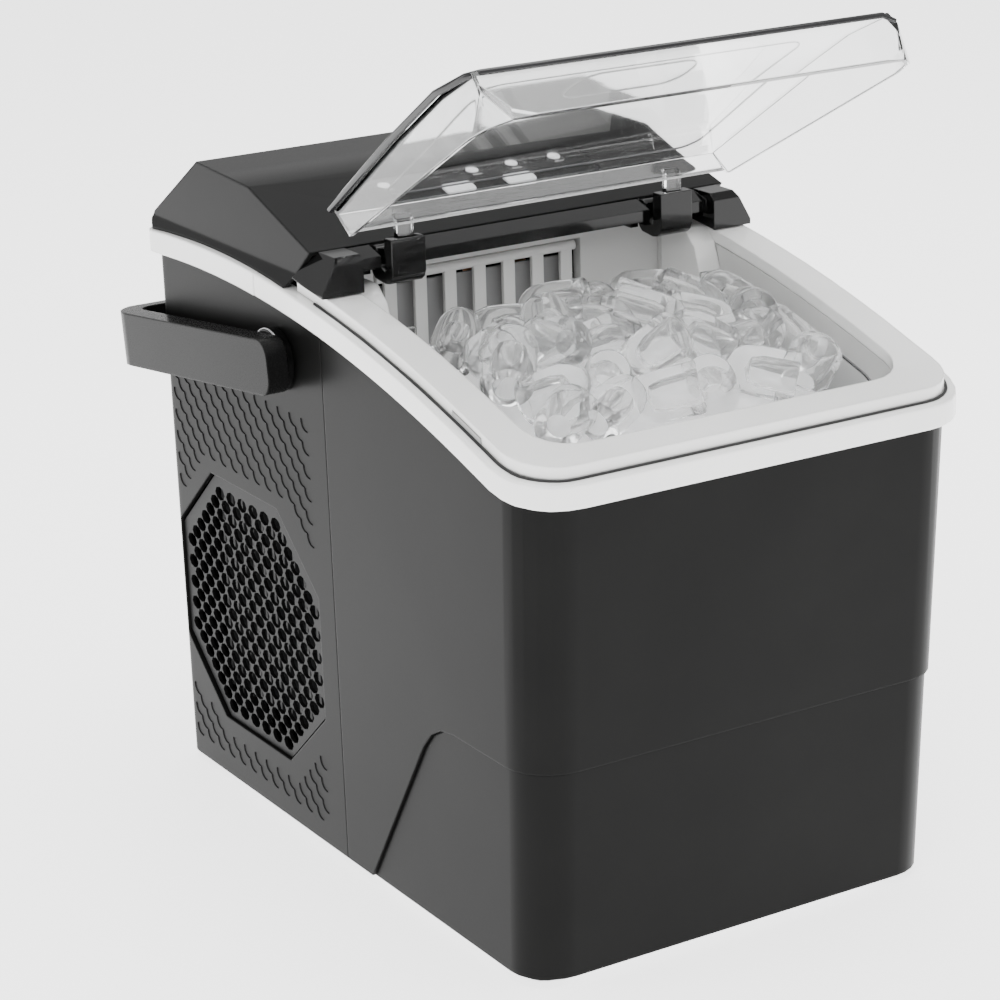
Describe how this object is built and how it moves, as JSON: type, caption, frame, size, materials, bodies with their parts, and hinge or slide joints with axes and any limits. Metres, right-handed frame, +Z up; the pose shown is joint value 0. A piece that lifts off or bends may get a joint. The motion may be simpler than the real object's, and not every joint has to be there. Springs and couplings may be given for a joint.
{
  "type": "countertop ice maker",
  "caption": "Countertop ice maker: black housing with curved white trim, hinged clear lid over a lift-out ice basket, sloping control panel, side grilles and a folding carry handle.",
  "frame": {"origin": "Centre of the overall bounding box in X and Y, at the plane the four rubber feet stand on.", "axes": "+Z is up, the front with the ice bin faces -Y, and +X is the right-hand side seen from the front; the lid's and the handle's pivots run along X."},
  "size_m": [0.25, 0.3567, 0.38],
  "materials": {
    "shell": "satin charcoal-black moulded plastic",
    "trim": "glossy white moulded plastic",
    "liner": "pale grey moulded plastic, semi-gloss",
    "cover": "satin dark charcoal moulded plastic",
    "gloss": "polished black plastic",
    "clear": "clear moulded plastic",
    "ice": "clear to cloudy hollow ice pieces",
    "lamp": "white translucent plastic",
    "tab_grey": "mid grey plastic",
    "rubber": "black rubber",
    "steel": "plain zinc-plated steel",
    "copper": "copper tube and plate",
    "aluminium": "mill-finish aluminium fins",
    "black_metal": "black enamelled metal",
    "board": "green circuit board laminate"
  },
  "bodies": {
    "housing": {"front_shell": "shell", "lower_front_panel": "shell", "rear_shell": "shell", "side_grille_left": "shell", "side_grille_right": "shell", "base_pan": "shell", "trim_front": "trim", "trim_rear": "trim", "rim_frame": "trim", "reservoir_tub": "liner", "ice_chute": "liner", "drain_pipe": "liner", "top_cover": "cover", "hinge_beam": "cover", "control_fascia": "gloss", "handle_boss_left": "gloss", "handle_boss_right": "gloss", "power_inlet": "gloss", "water_hose": "clear", "lamp_1": "lamp", "lamp_2": "lamp", "lamp_3": "lamp", "lamp_4": "lamp", "rim_tab_left": "tab_grey", "rim_tab_right": "tab_grey", "foot_front_left": "rubber", "foot_front_right": "rubber", "foot_rear_left": "rubber", "foot_rear_right": "rubber", "lid_pin_left": "steel", "lid_pin_right": "steel", "handle_pin_left": "steel", "handle_pin_right": "steel", "fan_motor": "steel", "rear_screw_upper_left": "steel", "rear_screw_upper_right": "steel", "rear_screw_lower_left": "steel", "rear_screw_lower_right": "steel", "evaporator": "copper", "discharge_tube": "copper", "suction_tube": "copper", "condenser": "aluminium", "fan_shroud": "black_metal", "compressor": "black_metal", "tray_motor": "black_metal", "water_pump": "black_metal", "control_board": "board"},
    "lid": {"lid": "clear", "hinge_arm_left": "gloss", "hinge_arm_right": "gloss"},
    "handle": {"carry_handle": "cover"},
    "basket": {"ice_basket": "clear", "ice_load": "ice"},
    "power_button": {"button_power": "lamp"},
    "ice_size_button": {"button_ice_size": "lamp"},
    "tray": {"water_tray": "liner"},
    "rake": {"ice_rake": "liner"},
    "fan": {"condenser_fan": "black_metal"},
    "drain_plug": {"drain_cap": "rubber"}
  },
  "joints": [
    {"name": "lid_hinge", "type": "hinge", "parent": "housing", "child": "lid", "pos_m": [0, -0.00195, 0.2795], "axis": [-1, 0, 0], "range_deg": [-46, 45]},
    {"name": "handle_pivot", "type": "hinge", "parent": "housing", "child": "handle", "pos_m": [0, 0.03205, 0.2305], "axis": [1, 0, 0], "range_deg": [0, 97]},
    {"name": "basket_lift", "type": "slide", "parent": "housing", "child": "basket", "axis": [0, 0, 1], "range_m": [0, 0.04]},
    {"name": "power_press", "type": "slide", "parent": "housing", "child": "power_button", "axis": [0, 0.2918, -0.9565], "range_m": [0, 0.0006], "stiffness_N_per_m": 400},
    {"name": "ice_size_press", "type": "slide", "parent": "housing", "child": "ice_size_button", "axis": [0, 0.2918, -0.9565], "range_m": [0, 0.0006], "stiffness_N_per_m": 400},
    {"name": "tray_tilt", "type": "hinge", "parent": "housing", "child": "tray", "pos_m": [0, 0.08005, 0.208], "axis": [1, 0, 0], "range_deg": [0, 55]},
    {"name": "rake_swing", "type": "hinge", "parent": "housing", "child": "rake", "pos_m": [0, 0.01685, 0.263], "axis": [-1, 0, 0], "range_deg": [0, 28]},
    {"name": "fan_spin", "type": "hinge", "parent": "housing", "child": "fan", "pos_m": [-0.06, 0.07805, 0.0955], "axis": [1, 0, 0], "continuous": true},
    {"name": "drain_pull", "type": "slide", "parent": "housing", "child": "drain_plug", "axis": [0, 1, 0], "range_m": [0, 0.012]}
  ],
  "couplings": [
    {"joint": "rake_swing", "follows": "tray_tilt", "ratio": 0.5}
  ]
}
